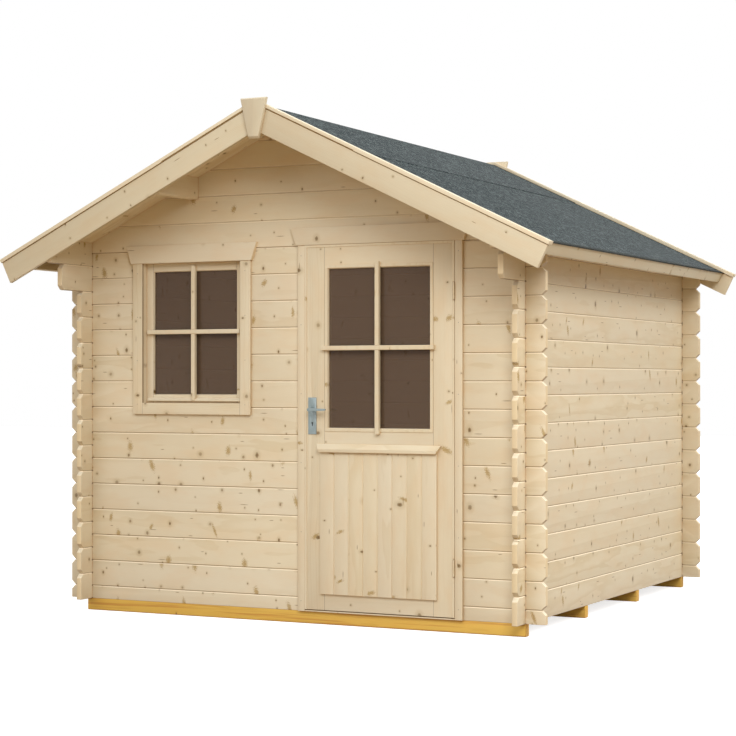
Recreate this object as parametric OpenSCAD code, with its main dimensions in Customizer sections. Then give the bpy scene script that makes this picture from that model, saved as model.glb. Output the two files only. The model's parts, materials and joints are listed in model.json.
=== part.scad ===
/* [House] */
// Width over the outer faces of the side walls
house_w = 2400; // [2200:20:3000]
// Depth over the outer faces of the front and back walls
house_d = 2400; // [1800:20:3400]

/* [Logs] */
// Thickness of a wall log
log_t = 28; // [24:1:36]
// Height of a log from joint to joint
log_h = 130; // [126:1:140]
// Number of log courses in a side wall
courses = 14; // [14:1:16]
// How far a log runs past the outer face of the wall it crosses
log_end = 98; // [70:2:120]
// Chamfer above and below each log end
end_chamfer = 22; // [10:1:30]
// Depth of the V joint between two logs
joint_v = 4; // [2:0.5:6]
// Reach of the lower of the two bracket logs under the front eaves
bracket_low = 262; // [200:2:300]
// Lower chamfer of the longest bracket log
bracket_chamfer = 12; // [6:1:20]
// Height planed off the top log at its inner edge
eaves_cut = 10; // [2:1:20]

/* [Base] */
// Height of a skid
skid_h = 60; // [40:1:70]
// Width of a skid
skid_w = 45; // [35:1:70]
// Number of skids
skid_count = 4; // [3:1:6]
// Bevel along the edges of a skid
skid_bevel = 4; // [1:0.5:8]
// Thickness of the floor boards
floor_t = 18; // [16:1:28]
// Gap between the floor and the walls
floor_gap = 5; // [3:1:10]

/* [Roof] */
// Pitch of both roof slopes in degrees
pitch = 25.75; // [22:0.25:30]
// Roof edge in front of the front wall
front_over = 376; // [340:1:450]
// Roof boards past the ends of the back logs
deck_past = 12; // [0:1:40]
// Thickness of the roof boards
board_t = 17; // [15:1:22]
// Length of the roof boards down the slope
slope_run = 1528; // [1500:2:1600]
// Thickness of one layer of roofing felt
felt_t = 3; // [2:0.5:5]
// Distance from the ridge to the lap between two felt sheets
felt_lap = 560; // [300:10:900]
// Felt past the face of the fascia
felt_drip = 4; // [2:1:12]
// Width of a purlin
purlin_w = 60; // [40:2:80]
// Height of a purlin on the side that faces the ridge
purlin_h = 108; // [80:2:140]
// Distance from the middle of the house to the near face of a purlin
purlin_x = 541; // [450:1:650]

/* [Roof Trim] */
// Thickness of a barge board
barge_t = 20; // [16:1:26]
// Width of a barge board
barge_w = 110; // [90:2:130]
// Length of a barge board past the ends of the roof boards
barge_past = 77; // [50:1:90]
// Thickness of the cover strip on the roof edge
strip_t = 15; // [10:1:20]
// Width of the cover strip
strip_w = 45; // [35:1:60]
// Cover strip in front of the barge board
strip_proud = 6; // [2:1:10]
// Cover strip past the end of the barge board
strip_past = 4; // [2:1:25]
// Thickness of the fascia
fascia_t = 16; // [14:1:22]
// Height of the fascia
fascia_h = 60; // [45:1:90]
// Thickness of a keystone board
key_t = 20; // [16:1:26]
// Width of a keystone at its top
key_top = 138; // [110:2:160]
// Width of a keystone at its foot
key_foot = 50; // [30:2:70]
// Height of a keystone
key_h = 190; // [160:2:220]
// Keystone above the peak of the cover strips
key_rise = 5; // [0:1:15]
// Bevel at the top of a keystone
key_bevel = 5; // [2:0.5:8]
// Bevel at the foot of a keystone
key_foot_bevel = 10; // [4:0.5:14]

/* [Door] */
// Middle of the door leaf from the middle of the house
door_x = 460; // [440:2:500]
// Width of the door leaf
leaf_w = 774; // [700:2:800]
// Thickness of the door leaf
leaf_t = 40; // [34:1:50]
// Gap between the leaf and its jambs
leaf_side_gap = 7; // [6.5:0.5:10]
// Gap around the leaf at its head, sill and stop
leaf_gap = 5; // [5:0.5:8]
// Head of the leaf's opening above the joint under the gable
head_rise = 3; // [0:1:20]
// Width of a leaf stile
stile_w = 106; // [90:1:120]
// Depth of the top rail of the leaf
top_rail = 97; // [80:1:120]
// Height of the glazed part of the leaf
leaf_glass_h = 788; // [700:2:800]
// Width of the bead around the door glass
bead_w = 12; // [8:1:16]
// Thickness of the glass
glass_t = 4; // [3:1:6]
// Thickness of the tongue and groove panel on the leaf
panel_t = 11; // [8:1:14]
// Number of boards in the panel
panel_boards = 8; // [6:1:10]
// How far the panel covers each stile
panel_lap = 25; // [10:1:40]
// Height of the panel's foot above the foot of the leaf
panel_foot = 77; // [50:1:100]
// Height of the weather bar
weather_h = 40; // [30:1:50]
// Depth of the weather bar
weather_d = 26; // [18:1:36]
// Top of the weather bar below the glass
weather_drop = 62; // [50:1:80]
// Slant of the weather bar at each end
weather_slant = 22; // [10:1:24]
// Thickness of a jamb
jamb_w = 30; // [24:1:40]
// Depth of the door frame
frame_d = 56; // [54:1:70]
// How far the stop reaches behind the leaf
stop_w = 10; // [6:1:12]
// Height of the sill under the leaf
sill_h = 6; // [4:1:10]
// Height of the threshold behind the leaf
threshold_h = 30; // [24:1:40]

/* [Casings] */
// Thickness of the casing boards
casing_t = 15; // [12:1:20]
// Width of the door casings
door_casing_w = 38; // [36:1:50]
// Thickness of the header boards
header_t = 20; // [18:1:26]
// Height of the door header
door_header_h = 85; // [70:1:100]
// Height of the window header
window_header_h = 89; // [70:1:100]
// Slant of a header at each end
header_slant = 30; // [10:1:40]
// Header past the casing below it
header_past = 8; // [2:1:14]

/* [Window] */
// Middle of the window from the middle of the house
window_x = -577; // [-620:1:-540]
// Width of the window opening inside the casing
window_w = 566; // [500:2:600]
// Height of the window opening inside the casing
window_h = 698; // [600:2:720]
// Top of the window opening below the head of the door opening
window_drop = 63; // [60:1:120]
// Width of the window casings
window_casing_w = 57; // [45:1:70]
// Thickness of the window frame
window_frame_t = 30; // [24:1:40]
// Depth of the window frame behind the wall's face
window_frame_d = 62; // [60:1:80]
// Setback of the sash behind the wall's face
sash_setback = 26; // [20:1:30]
// Thickness of the sash
sash_t = 30; // [24:1:32]
// Width of a sash member
sash_w = 40; // [34:1:50]
// Height of the drip bar
drip_h = 18; // [12:1:24]
// Depth of the drip bar
drip_d = 16; // [10:1:22]
// Drip bar short of each side of the window opening
drip_short = 13; // [6:1:20]

/* [Handle] */
// Width of a handle plate
plate_w = 44; // [36:1:48]
// Height of a handle plate
plate_h = 176; // [150:2:220]
// Thickness of a handle plate
plate_t = 3; // [2:0.5:4]
// Foot of the handle plate above the foot of the leaf
plate_z = 840; // [780:2:900]
// Gap from the edge of the leaf to the handle plate
plate_edge = 14; // [13:1:20]
// Spindle above the foot of the handle plate
spindle_z = 118; // [100:1:130]
// Keyhole above the foot of the handle plate
keyhole_z = 40; // [30:1:60]
// Length of the lever from the spindle
lever_l = 84; // [70:1:115]
// Height of the lever bar at the spindle
lever_h = 15; // [12:1:18]
// Height of the lever bar at its tip
tip_h = 9; // [6:1:12]
// Depth of the lever bar
lever_d = 10; // [8:1:14]
// Distance from the plate to the lever bar
lever_off = 28; // [24:1:40]
// Radius of the lever neck
neck_r = 8; // [6:0.5:9]
// Radius of the hub that the lever turns about
hub_r = 9; // [8.5:0.5:12]
// Radius of the spindle
spindle_r = 4; // [3:0.5:5]

/* [Hinges] */
// Radius of a hinge barrel
barrel_r = 5; // [4.5:0.5:6]
// Height of a hinge barrel
barrel_h = 80; // [60:2:110]
// Radius of a hinge pin
pin_r = 2.5; // [2:0.25:3]
// Thickness of a hinge plate
hinge_t = 2; // [1.5:0.5:2]
// Distance of a hinge from the end of the leaf
hinge_end = 190; // [120:2:260]

/* [Hidden] */

$fn = 40;

cut = 1;            // a cut runs this far past the face it opens
leaf_recess = 1;    // leaf behind the front of its casings
bar_flat = 0.25;    // flat top of a sloping bar, share of its depth
bar_nose = 0.4;     // upright front of a sloping bar, share of its height

// clearances
fit_gap = 0.05;     // pin in its bore, all round
barrel_gap = 0.5;   // hinge barrel in front of the leaf
seat_gap = 0.3;     // between two turning end faces
slope_gap = 0.05;   // between two faces that lie along a roof slope
pin_short = 4;      // pin short of the closed top of its barrel
bead_d = 14;        // glass behind the front of the leaf
sash_glass = 14;    // glass behind the front of the sash
spindle_play = 2;   // bore through the leaf around the spindle
key_slot = [5, 14]; // keyhole, width and height

// levels
base = skid_h;                                    // foot of the walls
wall_h = courses * log_h;                         // side wall before its top is planed
gable_z = base + wall_h - log_h / 2;              // joint between the front wall and its gable
half_w = house_w / 2;
eaves_z = base + wall_h - eaves_cut;              // underside of the roof at a side wall's inner face
apex_z = eaves_z + (half_w - log_t) * tan(pitch); // underside of the roof at the ridge

// front to back: the keystones' outer faces lie the same distance from the origin
back_over = log_end + deck_past + barge_t;
front_y = (front_over - back_over - house_d) / 2;
back_y = front_y + house_d;
deck_y = [front_y - front_over + barge_t, back_y + back_over - barge_t];
edge_y = [front_y - front_over, back_y + back_over];

// roof layers, down the slope and above the underside of the boards
felt_end = slope_run + fascia_t + felt_drip;
barge_end = slope_run + barge_past;
strip_end = barge_end + strip_past;
sheet_n = board_t + felt_t;      // top of one felt layer
lap_n = sheet_n + felt_t;        // top of two felt layers
strip_n = lap_n + strip_t;       // top of the cover strips
key_peak = at_ridge(strip_n)[1] + key_rise;

// door
leaf_x = [door_x - leaf_w / 2, door_x + leaf_w / 2];
leaf_z = base + sill_h + leaf_gap;
pocket_top = gable_z + head_rise;
leaf_top = pocket_top - leaf_gap;
leaf_front = front_y - casing_t + leaf_recess;
leaf_back = leaf_front + leaf_t;
pocket_x = [leaf_x[0] - leaf_side_gap, leaf_x[1] + leaf_side_gap];
stop_y = leaf_back + leaf_gap;
door_hole_x = [pocket_x[0] - jamb_w, pocket_x[1] + jamb_w];
door_hole_top = pocket_top + jamb_w;
glass_top = leaf_top - top_rail;
glass_foot = glass_top - leaf_glass_h;
leaf_hole_x = [leaf_x[0] + stile_w, leaf_x[1] - stile_w];
panel_z = leaf_z + panel_foot;
weather_z = glass_foot - weather_drop - weather_h;
panel_x = [leaf_hole_x[0] - panel_lap, leaf_hole_x[1] + panel_lap];
handle_x = leaf_x[0] + plate_edge + plate_w / 2;
handle_z = leaf_z + plate_z + spindle_z;

// hinge axis: in the gap at the right of the leaf, in front of it by the barrel
hinge_x = leaf_x[1] + leaf_side_gap / 2;
hinge_y = leaf_front - barrel_r - barrel_gap;
hinge_feet = [leaf_z + hinge_end, leaf_top - hinge_end - barrel_h];

// window
window_side = [window_x - window_w / 2, window_x + window_w / 2];
window_top = pocket_top - window_drop;
window_foot = window_top - window_h;
sash_y = front_y + sash_setback;

// joints between the logs; the front and back walls start with half a log
front_joints = [base, for (i = [0:courses - 1]) base + (i + 0.5) * log_h];
side_joints = [for (i = [0:courses]) base + i * log_h];
gable_joints = [base, for (i = [0:floor((apex_z - base) / log_h - 0.5)]) base + (i + 0.5) * log_h];
log_reach = half_w + log_end;

// ---- helpers ----

// a drawing in x and z, pulled from y0 to y1
module along_y(y0, y1) {
    translate([0, y1, 0]) rotate([90, 0, 0]) linear_extrude(y1 - y0) children();
}

// a drawing in y and z, pulled from x0 to x1
module along_x(x0, x1) {
    translate([x0, 0, 0]) rotate([90, 0, 90]) linear_extrude(x1 - x0) children();
}

module block(x, y, z) {
    translate([x[0], y[0], z[0]]) cube([x[1] - x[0], y[1] - y[0], z[1] - z[0]]);
}

module left_and_right() {
    children();
    mirror([1, 0, 0]) children();
}

function reversed(list) = [for (i = [len(list) - 1:-1:0]) list[i]];
function mirrored(points) = [for (p = reversed(points)) [-p[0], p[1]]];

// a point on a roof slope: s down the slope from the ridge, n square to it above the underside
function on_slope(s, n) = [s * cos(pitch) + n * sin(pitch), apex_z - s * sin(pitch) + n * cos(pitch)];
// where a layer n above the underside meets the middle of the house
function at_ridge(n) = [0, apex_z + n / cos(pitch)];
// height of the roof's underside
function soffit_z(x) = apex_z - abs(x) * tan(pitch);

// ---- logs ----

// one face of a wall's section, going up: a V of depth v where two logs meet
function face_up(y, v, joints, top) = [
    [y, joints[0]],
    for (i = [1:len(joints) - 1]) each [
        [y, joints[i] - joint_v],
        [y + v, joints[i]],
        if (joints[i] + joint_v < top) [y, joints[i] + joint_v]
    ]
];

module log_section(y, joints, top) {
    inner = concat(face_up(y + log_t, -joint_v, joints, top), [[y + log_t, top]]);
    polygon(concat(face_up(y, joint_v, joints, top), [[y, top]], reversed(inner)));
}

// chamfered ends of a stack of logs, going up: ends[i] is the reach of log i,
// top_chamfer the lower chamfer of the top log
function stack_end(ends, joints, top_chamfer = end_chamfer) = let (top = len(ends) - 1) [
    [ends[0], joints[0]],
    for (i = [0:top]) let (low = i == top ? top_chamfer : end_chamfer) each [
        if (i > 0 && ends[i] != ends[i - 1]) [ends[i] - low, joints[i]],
        if (i > 0) [ends[i], joints[i] + low],
        if (i < top) [ends[i], joints[i + 1] - end_chamfer],
        if (i < top) [ends[i] - end_chamfer, joints[i + 1]]
    ],
    [ends[top], joints[top + 1]]
];

// right end of the front and back walls, log by log
function cross_end() = stack_end([for (i = [1:courses]) log_reach], front_joints);

// notches of the front and back walls, half a log high, that the side logs pass through
module side_log_slots(y) {
    left_and_right()
        for (i = [0:courses - 1])
            block([half_w - log_t, half_w], [y - cut, y + log_t + cut],
                [side_joints[i] + log_h / 4, side_joints[i + 1] - log_h / 4]);
}

// notches of a side wall, half a log high, that the front and back logs fill
module cross_log_slots(x) {
    for (y = [front_y, back_y - log_t], z = side_joints)
        block([x[0] - cut, x[1] + cut], [y, y + log_t], [z - log_h / 4, z + log_h / 4]);
}

// everything under the roof boards
module under_roof(y0, y1) {
    reach = log_reach + cut;
    top = soffit_z(0) - slope_gap;
    foot = soffit_z(reach) - slope_gap;
    along_y(y0, y1) polygon([[-reach, 0], [reach, 0], [reach, foot], [0, top], [-reach, foot]]);
}

// logs that run from left to right under the roof, cut to the outline in children()
module cross_wall(y) {
    difference() {
        intersection() {
            along_y(y, y + log_t) children();
            along_x(-log_reach, log_reach) log_section(y, gable_joints, apex_z + joint_v);
            under_roof(y - cut, y + log_t + cut);
        }
        side_log_slots(y);
    }
}

// logs between the walls and the roof; doorway lists the corners that cut into their foot
module gable(y, doorway) {
    low = [[-log_reach, gable_z], each doorway, [log_reach, gable_z]];
    difference() {
        cross_wall(y) polygon([each low, [log_reach, apex_z], [-log_reach, apex_z]]);
        purlin_pair(y - cut, y + log_t + cut, cut);
    }
}

module front_wall_left() {
    color("wheat") difference() {
        cross_wall(front_y)
            polygon([[door_hole_x[0], gable_z], each mirrored(cross_end()), [door_hole_x[0], base]]);
        block([window_side[0] - window_frame_t, window_side[1] + window_frame_t],
            [front_y - cut, front_y + log_t + cut],
            [window_foot - window_frame_t, window_top + window_frame_t]);
    }
}

module front_wall_right() {
    color("wheat") cross_wall(front_y)
        polygon([[door_hole_x[1], base], each cross_end(), [door_hole_x[1], gable_z]]);
}

module front_gable() {
    color("wheat") gable(front_y, [[door_hole_x[0], gable_z], [door_hole_x[0], door_hole_top],
        [door_hole_x[1], door_hole_top], [door_hole_x[1], gable_z]]);
}

module back_wall() {
    color("wheat") cross_wall(back_y - log_t) polygon(concat(cross_end(), mirrored(cross_end())));
}

module back_gable() {
    color("wheat") gable(back_y - log_t, []);
}

// right side wall; its two top logs run forward as brackets under the roof edge
module side_wall() {
    x = [half_w - log_t, half_w];
    y = [deck_y[0], back_y + log_end];
    reach = concat([for (i = [3:courses]) log_end - front_y], [bracket_low - front_y, -deck_y[0]]);
    front = mirrored(stack_end(reach, side_joints, bracket_chamfer));
    back = stack_end([for (i = [1:courses]) y[1]], side_joints);
    intersection() {
        difference() {
            intersection() {
                along_x(x[0], x[1]) polygon(concat(back, front));
                along_y(y[0], y[1]) log_section(x[0], side_joints, base + wall_h);
            }
            cross_log_slots(x);
        }
        under_roof(y[0] - cut, y[1] + cut);
    }
}

module right_wall() {
    color("burlywood") side_wall();
}

module left_wall() {
    color("burlywood") mirror([1, 0, 0]) side_wall();
}

// ---- base ----

module skids() {
    step = (house_d - skid_w) / (skid_count - 1);
    b = skid_bevel;
    color("goldenrod") for (i = [0:skid_count - 1])
        translate([0, front_y + i * step, 0])
            along_x(-half_w, half_w)
                polygon([[b, 0], [skid_w - b, 0], [skid_w, b], [skid_w, skid_h], [0, skid_h], [0, b]]);
}

// floor boards, cut out around the door frame
module floor() {
    x = half_w - log_t - floor_gap;
    y = [front_y + log_t + floor_gap, back_y - log_t - floor_gap];
    color("burlywood") difference() {
        block([-x, x], y, [base, base + floor_t]);
        block([door_hole_x[0] - floor_gap, door_hole_x[1] + floor_gap],
            [y[0] - cut, front_y + frame_d + floor_gap], [base - cut, base + floor_t + cut]);
    }
}

// ---- roof ----

// both purlins between y0 and y1; above is how far they reach past the underside of the roof
module purlin_pair(y0, y1, above = 0) {
    x = [purlin_x, purlin_x + purlin_w];
    foot = soffit_z(x[0]) - purlin_h;
    top = [for (e = x) soffit_z(e) + above];
    left_and_right() along_y(y0, y1)
        polygon([[x[0], foot], [x[1], foot], [x[1], top[1]], [x[0], top[0]]]);
}

module purlins() {
    color("tan") purlin_pair(deck_y[0], deck_y[1], -slope_gap);
}

module roof_boards_right() {
    color("tan") along_y(deck_y[0], deck_y[1])
        polygon([at_ridge(0), on_slope(slope_run, 0), on_slope(slope_run, board_t), at_ridge(board_t)]);
}

module roof_boards_left() {
    mirror([1, 0, 0]) roof_boards_right();
}

// edge of the felt's second layer on the right slope, gap clear of it
function felt_lap_edge(gap) = [
    on_slope(felt_lap + gap, lap_n + gap),
    on_slope(felt_lap + gap, sheet_n + gap)
];

module roofing_felt() {
    under = board_t + slope_gap;
    right = [each felt_lap_edge(0), on_slope(felt_end, sheet_n), on_slope(felt_end, under)];
    color("slategray") along_y(edge_y[0], edge_y[1])
        polygon([at_ridge(lap_n), each right, at_ridge(under), each mirrored(right)]);
}

// right barge board, between y0 and y1
module barge(y0, y1) {
    foot = board_t - barge_w;
    along_y(y0, y1)
        polygon([
            at_ridge(foot),
            on_slope(barge_end, foot),
            on_slope(barge_end, board_t),
            at_ridge(board_t)
        ]);
}

module barge_front_right() {
    color("bisque") barge(edge_y[0], edge_y[0] + barge_t);
}

module barge_front_left() {
    mirror([1, 0, 0]) barge_front_right();
}

module barge_back_right() {
    color("bisque") barge(edge_y[1] - barge_t, edge_y[1]);
}

module barge_back_left() {
    mirror([1, 0, 0]) barge_back_right();
}

// cover strip over both slopes; its underside follows the lap of the felt
module cover_strip(y0, y1) {
    g = slope_gap;
    right = [each felt_lap_edge(g), on_slope(strip_end, sheet_n + g), on_slope(strip_end, strip_n)];
    along_y(y0, y1) polygon([at_ridge(lap_n + g), each right, at_ridge(strip_n), each mirrored(right)]);
}

module front_cover_strip() {
    y = edge_y[0] - strip_proud;
    color("moccasin") difference() {
        cover_strip(y, y + strip_w);
        keystone_block(y - cut, edge_y[0]);
    }
}

module back_cover_strip() {
    y = edge_y[1] + strip_proud;
    color("moccasin") difference() {
        cover_strip(y - strip_w, y);
        keystone_block(edge_y[1], y + cut);
    }
}

// tapered board over the joint of two barge boards
module keystone_block(y0, y1) {
    foot = key_peak - key_h;
    a = key_top / 2;
    b = key_foot / 2;
    along_y(y0, y1) polygon([[-b, foot], [b, foot], [a, key_peak], [-a, key_peak]]);
}

// keystone with its front at y, bevelled there at its top and foot
module keystone(y) {
    foot = key_peak - key_h;
    back = y + key_t;
    intersection() {
        keystone_block(y, back);
        along_x(-key_top / 2, key_top / 2)
            polygon([[y + key_foot_bevel, foot], [back, foot], [back, key_peak],
                [y + key_bevel, key_peak], [y, key_peak - key_bevel], [y, foot + key_foot_bevel]]);
    }
}

module front_keystone() {
    color("bisque") keystone(edge_y[0] - key_t);
}

module back_keystone() {
    color("bisque") translate([0, 2 * edge_y[1], 0]) mirror([0, 1, 0]) keystone(edge_y[1] - key_t);
}

module fascias() {
    s = [slope_run + slope_gap, slope_run + fascia_t];
    n = [board_t - fascia_h, board_t];
    color("tan") left_and_right() along_y(deck_y[0], deck_y[1])
        polygon([
            on_slope(s[0], n[0]),
            on_slope(s[1], n[0]),
            on_slope(s[1], n[1]),
            on_slope(s[0], n[1])
        ]);
}

// ---- door frame ----

// jamb with its stop; its leaf side is at x and it grows away from the leaf
module jamb(x, away) {
    y = front_y;
    outer = x + away * jamb_w;
    stop = x - away * (stop_w + leaf_side_gap);
    translate([0, 0, base]) linear_extrude(door_hole_top - base)
        polygon([
            [x, y],
            [outer, y],
            [outer, y + frame_d],
            [stop, y + frame_d],
            [stop, stop_y],
            [x, stop_y]
        ]);
}

module door_jamb_left() {
    color("burlywood") jamb(pocket_x[0], -1);
}

module door_jamb_right() {
    color("burlywood") jamb(pocket_x[1], 1);
}

module door_frame_head() {
    inner = [leaf_x[0] + stop_w, leaf_x[1] - stop_w];
    color("burlywood") {
        block(pocket_x, [front_y, stop_y], [pocket_top, door_hole_top]);
        block(inner, [stop_y, front_y + frame_d], [leaf_top - stop_w, door_hole_top]);
    }
}

module door_sill() {
    inner = [leaf_x[0] + stop_w, leaf_x[1] - stop_w];
    color("tan") {
        block(pocket_x, [leaf_front, stop_y], [base, base + sill_h]);
        block(inner, [stop_y, front_y + frame_d], [base, base + threshold_h]);
    }
}

module door_casings() {
    z = [base, pocket_top];
    y = [front_y - casing_t, front_y];
    color("bisque") {
        block([pocket_x[0] - door_casing_w, pocket_x[0]], y, z);
        block([pocket_x[1], pocket_x[1] + door_casing_w], y, z);
    }
}

// header with slanted ends over an opening whose casings reach from x[0] to x[1]
module header(x, z, h) {
    a = x[0] - header_past;
    b = x[1] + header_past;
    along_y(front_y - header_t, front_y)
        polygon([[a, z], [b, z], [b + header_slant, z + h], [a - header_slant, z + h]]);
}

module door_header() {
    x = [pocket_x[0] - door_casing_w, pocket_x[1] + door_casing_w];
    color("bisque") header(x, pocket_top, door_header_h);
}

// ---- door leaf ----

// round hole around the spindle from y0 to y1
module bore_y(r, y0, y1) {
    shaft_y(r, y0 - cut, y1 + cut);
}

// round bar on the spindle's axis from y0 to y1
module shaft_y(r, y0, y1) {
    translate([handle_x, y0, handle_z]) rotate([-90, 0, 0]) cylinder(r = r, h = y1 - y0);
}

module door_leaf() {
    bead_y = [leaf_front + bead_d - glass_t / 2, leaf_front + bead_d + glass_t / 2];
    color("wheat") difference() {
        block(leaf_x, [leaf_front, leaf_back], [leaf_z, leaf_top]);
        block([leaf_hole_x[0] + bead_w, leaf_hole_x[1] - bead_w], [leaf_front - cut, leaf_back + cut],
            [glass_foot + bead_w, glass_top - bead_w]);
        block(leaf_hole_x, bead_y, [glass_foot, glass_top]);
        bore_y(spindle_r + spindle_play, leaf_front, leaf_back);
    }
}

module door_glass() {
    y = leaf_front + bead_d - glass_t / 2;
    color("dimgray") block(leaf_hole_x, [y, y + glass_t], [glass_foot, glass_top]);
}

// upright boards on the face of the leaf, a V between each two
module door_panel() {
    v = joint_v;
    front = leaf_front - panel_t;
    step = (panel_x[1] - panel_x[0]) / panel_boards;
    joints = [for (i = [1:panel_boards - 1]) panel_x[0] + i * step];
    color("wheat") translate([0, 0, panel_z]) linear_extrude(weather_z - panel_z)
        polygon([
            [panel_x[0], leaf_front],
            [panel_x[0], front],
            for (x = joints) each [[x - v, front], [x, front + v], [x + v, front]],
            [panel_x[1], front],
            [panel_x[1], leaf_front]
        ]);
}

// bar on a face at y with its foot at z, sloping to throw off the rain
module sloping_bar(x, y, z, depth, height) {
    along_x(x[0], x[1])
        polygon([[y - depth, z], [y, z], [y, z + height], [y - depth * bar_flat, z + height],
            [y - depth, z + height * bar_nose]]);
}

// its ends are cut on the slant
module door_weather_bar() {
    z = [weather_z, weather_z + weather_h];
    color("bisque") intersection() {
        sloping_bar(leaf_x, leaf_front, z[0], weather_d, weather_h);
        along_y(leaf_front - weather_d, leaf_front)
            polygon([[panel_x[0], z[0]], [panel_x[1], z[0]],
                [panel_x[1] + weather_slant, z[1]], [panel_x[0] - weather_slant, z[1]]]);
    }
}

// ---- handle ----

// plate from y to y + plate_t with a bearing for the neck and a keyhole
module plate(y) {
    z = leaf_z + plate_z;
    key_z = z + keyhole_z;
    w = key_slot[0] / 2;
    difference() {
        block([handle_x - plate_w / 2, handle_x + plate_w / 2], [y, y + plate_t], [z, z + plate_h]);
        bore_y(neck_r + fit_gap, y, y + plate_t);
        translate([0, 0, key_z + key_slot[1] - handle_z]) bore_y(key_slot[0], y, y + plate_t);
        block([handle_x - w, handle_x + w], [y - cut, y + plate_t + cut], [key_z, key_z + key_slot[1]]);
    }
}

module handle_plates() {
    color("lightsteelblue") {
        plate(leaf_front - plate_t);
        plate(leaf_back);
    }
}

// lever bar that tapers to a round tip, between y0 and y1
module lever(y0, y1) {
    r = lever_h / 2;
    tip = tip_h / 2;
    shaft_y(hub_r, y0, y1);
    translate([lever_l, 0, 0]) shaft_y(tip, y0, y1);
    translate([handle_x, 0, handle_z]) along_y(y0, y1)
        polygon([[0, -r], [lever_l, -tip], [lever_l, tip], [0, r]]);
}

module door_handle() {
    front = leaf_front - plate_t - lever_off;
    back = leaf_back + plate_t + lever_off;
    color("lightsteelblue") {
        lever(front - lever_d, front);
        lever(back, back + lever_d);
        shaft_y(neck_r, front, leaf_front);
        shaft_y(neck_r, leaf_back, back);
        shaft_y(spindle_r, leaf_front, leaf_back);
    }
}

// ---- hinges ----

// fixed half: lower barrel with its pin, and a plate on the jamb
module hinge_pins() {
    half = barrel_h / 2 - seat_gap;
    x = pocket_x[1];
    color("silver") for (z = hinge_feet) {
        translate([hinge_x, hinge_y, z]) cylinder(r = barrel_r, h = half);
        translate([hinge_x, hinge_y, z]) cylinder(r = pin_r, h = barrel_h - pin_short);
        block([x - hinge_t, x], [hinge_y + pin_r, leaf_back], [z, z + half]);
    }
}

// moving half: upper barrel with its bore, and a plate on the edge of the leaf
module hinge_knuckles() {
    half = barrel_h / 2;
    x = leaf_x[1];
    color("silver") for (z = hinge_feet)
        difference() {
            union() {
                translate([hinge_x, hinge_y, z + half]) cylinder(r = barrel_r, h = half);
                block([x, x + hinge_t], [hinge_y, leaf_back], [z + half, z + barrel_h]);
            }
            translate([hinge_x, hinge_y, z])
                cylinder(r = pin_r + fit_gap, h = barrel_h - pin_short + seat_gap);
        }
}

// ---- window ----

module window_frame() {
    t = window_frame_t;
    color("burlywood") difference() {
        block([window_side[0] - t, window_side[1] + t], [front_y, front_y + window_frame_d],
            [window_foot - t, window_top + t]);
        block(window_side, [front_y - cut, front_y + window_frame_d + cut], [window_foot, window_top]);
    }
}

// boards at the left, right and foot of the window, joined at the lower corners
module window_casing() {
    w = window_casing_w;
    y = [front_y - casing_t, front_y];
    color("bisque") difference() {
        block([window_side[0] - w, window_side[1] + w], y, [window_foot - w, window_top]);
        block(window_side, [y[0] - cut, y[1] + cut], [window_foot, window_top + cut]);
    }
}

module window_header() {
    x = [window_side[0] - window_casing_w, window_side[1] + window_casing_w];
    color("bisque") header(x, window_top, window_header_h);
}

module window_sash() {
    hole_x = [window_side[0] + sash_w, window_side[1] - sash_w];
    hole_z = [window_foot + sash_w, window_top - sash_w];
    glass_y = sash_y + sash_glass;
    color("wheat") difference() {
        block(window_side, [sash_y, sash_y + sash_t], [window_foot, window_top]);
        block(hole_x, [sash_y - cut, sash_y + sash_t + cut], hole_z);
        block([hole_x[0] - bead_w, hole_x[1] + bead_w], [glass_y, glass_y + glass_t],
            [hole_z[0] - bead_w, hole_z[1] + bead_w]);
    }
}

module window_glass() {
    y = sash_y + sash_glass;
    inset = sash_w - bead_w;
    color("dimgray") block([window_side[0] + inset, window_side[1] - inset], [y, y + glass_t],
        [window_foot + inset, window_top - inset]);
}

// small bar at the foot of the sash
module window_drip_bar() {
    x = [window_side[0] + drip_short, window_side[1] - drip_short];
    color("bisque") sloping_bar(x, sash_y, window_foot + drip_h / 2, drip_d, drip_h);
}

skids();
floor();
front_wall_left();
front_wall_right();
front_gable();
back_wall();
back_gable();
left_wall();
right_wall();
purlins();
roof_boards_left();
roof_boards_right();
roofing_felt();
barge_front_left();
barge_front_right();
barge_back_left();
barge_back_right();
front_cover_strip();
back_cover_strip();
front_keystone();
back_keystone();
fascias();
door_jamb_left();
door_jamb_right();
door_frame_head();
door_sill();
door_casings();
door_header();
hinge_pins();
door_leaf();
door_glass();
door_panel();
door_weather_bar();
handle_plates();
hinge_knuckles();
door_handle();
window_frame();
window_casing();
window_header();
window_sash();
window_glass();
window_drip_bar();
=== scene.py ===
import json
import math

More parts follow.
